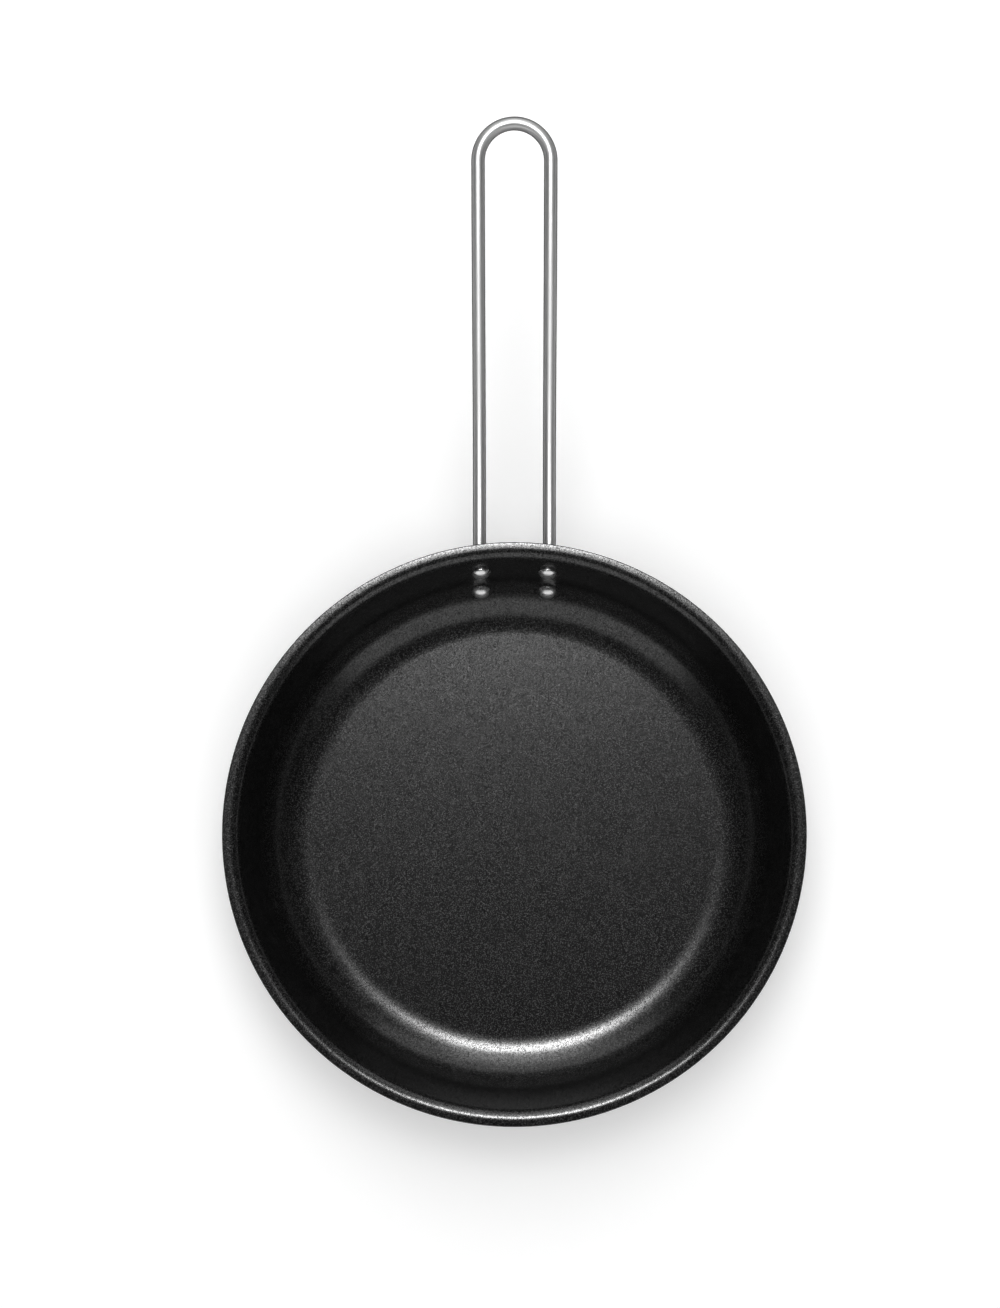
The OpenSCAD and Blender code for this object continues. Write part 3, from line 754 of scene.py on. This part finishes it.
# Every lamp is a rectangle that faces the pan, or level across the table if upright. Its radiance is
# what sets the brightness of its face. inMatt and inGloss say if matt surfaces and reflections get its light.
lamps = {
    "overheadKey": dict(toward=(-0.03, 0.41, 1.0), distance=1.75, size=(0.54, 0.44), radiance=27.0,
                        inMatt=False),
    "highSoftbox": dict(toward=(-0.02, 0.6, 1.0), distance=1.9, size=(0.8, 1.1), radiance=1.8),
    "longSoftbox": dict(toward=(-0.02, 0.68, 1.0), distance=1.95, size=(0.95, 1.85), radiance=1.5),
    "farWindow": dict(toward=(0.0, 1.75, 1.0), distance=1.95, size=(2.5, 1.3), radiance=0.95, upright=True),
    "nearFill": dict(toward=(0.0, -1.14, 1.0), distance=1.95, size=(3.1, 1.8), radiance=0.95, upright=True),
    "softCeiling": dict(toward=(0.0, 0.0, 1.0), distance=1.6, size=(1.6, 1.6), radiance=1.7, inGloss=False),
}
# Strengths of the sky, for all light, in reflections, above and as seen, and the height at which it fades
sky = dict(horizon=0.2, glossHorizon=0.4, above=0.05, seen=1.0, fadeFrom=0.02, fadeTo=0.4)
# The camera looks straight down, and its image is shifted so that the pan's axis is at panX, panY
view = dict(height=1.246, lens=77.36, sensor=36.0, imageWidth=1000, imageHeight=1308, panX=514.4, panY=834.6)


def tableObject():
    # A flat disc under the pan
    t = np.linspace(0, 2 * np.pi, table["steps"], endpoint=False)
    rim = np.column_stack([np.cos(t), np.sin(t), 0 * t]) * table["radius"] - (0, 0, table["drop"])
    mesh = bpy.data.meshes.new("table")
    mesh.from_pydata(rim.tolist(), [], [list(range(len(t)))])
    thing = bpy.data.objects.new("table", mesh)
    bpy.context.scene.collection.objects.link(thing)
    return thing


def tableMaterial():
    # Pale and matt. What the camera, metal and glass see of it is lifted to white, and shadows stay.
    material = bpy.data.materials.new("paleTable")
    material.use_nodes = True
    tree = material.node_tree
    tree.nodes.clear()
    end = put(tree, "OutputMaterial")
    path = put(tree, "LightPath")
    seen = sums(tree, "MAXIMUM", path.outputs["Is Camera Ray"],
                sums(tree, "MAXIMUM", path.outputs["Is Glossy Ray"], path.outputs["Is Transmission Ray"]))
    where = put(tree, "TexCoord")
    away = put(tree, "VectorMath", {0: where.outputs["Object"]}, operation="LENGTH").outputs["Value"]
    most = mapped(tree, path.outputs["Is Glossy Ray"], 0.0, 1.0, table["farGlow"], table["farGlossGlow"])
    far = put(tree, "MapRange", {"Value": away, "From Min": table["fadeFrom"], "From Max": table["fadeTo"],
                                 "To Min": table["glow"], "To Max": most},
              interpolation_type="SMOOTHSTEP").outputs["Result"]
    glow = put(tree, "Emission", {"Color": (1, 1, 1, 1), "Strength": sums(tree, "MULTIPLY", seen, far)})
    matt = put(tree, "BsdfDiffuse", {"Color": (table["colour"],) * 3 + (1,)})
    both = put(tree, "AddShader", {0: matt.outputs[0], 1: glow.outputs[0]})
    tree.links.new(both.outputs[0], end.inputs["Surface"])
    return material


tableTop = tableObject()
dress(tableTop, tableMaterial())

for name, lamp in lamps.items():
    light = bpy.data.lights.new(name, "AREA")
    light.shape, light.size, light.size_y = "RECTANGLE", *lamp["size"]
    # Power = radiance x pi x area
    light.energy = lamp["radiance"] * np.pi * lamp["size"][0] * lamp["size"][1]
    thing = bpy.data.objects.new(name, light)
    way = np.array(lamp["toward"]) / np.linalg.norm(lamp["toward"])
    thing.location = way * lamp["distance"]
    aim = -thing.location
    if lamp.get("upright"):
        aim.z = 0
    thing.rotation_euler = aim.to_track_quat("-Z", "Y").to_euler()
    thing.visible_camera, thing.visible_glossy = False, lamp.get("inGloss", True)
    thing.visible_diffuse = lamp.get("inMatt", True)
    bpy.context.scene.collection.objects.link(thing)
print("lamps:", len(lamps))

world = bpy.data.worlds.new("studio")
bpy.context.scene.world = world
world.use_nodes = True
tree = world.node_tree
# White where the camera or glass looks past the table, a pale horizon in metal, and dim for all other light
path = put(tree, "LightPath")
direction = put(tree, "SeparateXYZ", {"Vector": put(tree, "TexCoord").outputs["Generated"]})
low = mapped(tree, path.outputs["Is Glossy Ray"], 0.0, 1.0, sky["horizon"], sky["glossHorizon"])
fade = put(tree, "MapRange", {"Value": direction.outputs["Z"], "From Min": sky["fadeFrom"],
                              "From Max": sky["fadeTo"], "To Min": low, "To Max": sky["above"]},
           interpolation_type="SMOOTHSTEP").outputs["Result"]
seen = sums(tree, "MAXIMUM", path.outputs["Is Camera Ray"], path.outputs["Is Transmission Ray"])
tree.links.new(mapped(tree, seen, 0.0, 1.0, fade, sky["seen"]), tree.nodes["Background"].inputs["Strength"])
tree.nodes["Background"].inputs["Color"].default_value = (1, 1, 1, 1)

camera = bpy.data.objects.new("camera", bpy.data.cameras.new("camera"))
bpy.context.scene.collection.objects.link(camera)
bpy.context.scene.camera = camera
camera.location = (0, 0, view["height"])
camera.data.lens, camera.data.sensor_width = view["lens"], view["sensor"]
camera.data.shift_x = (view["imageWidth"] / 2 - view["panX"]) / view["imageHeight"]
camera.data.shift_y = (view["panY"] - view["imageHeight"] / 2) / view["imageHeight"]
bpy.context.scene.view_settings.view_transform = "Standard"
print("studio set")
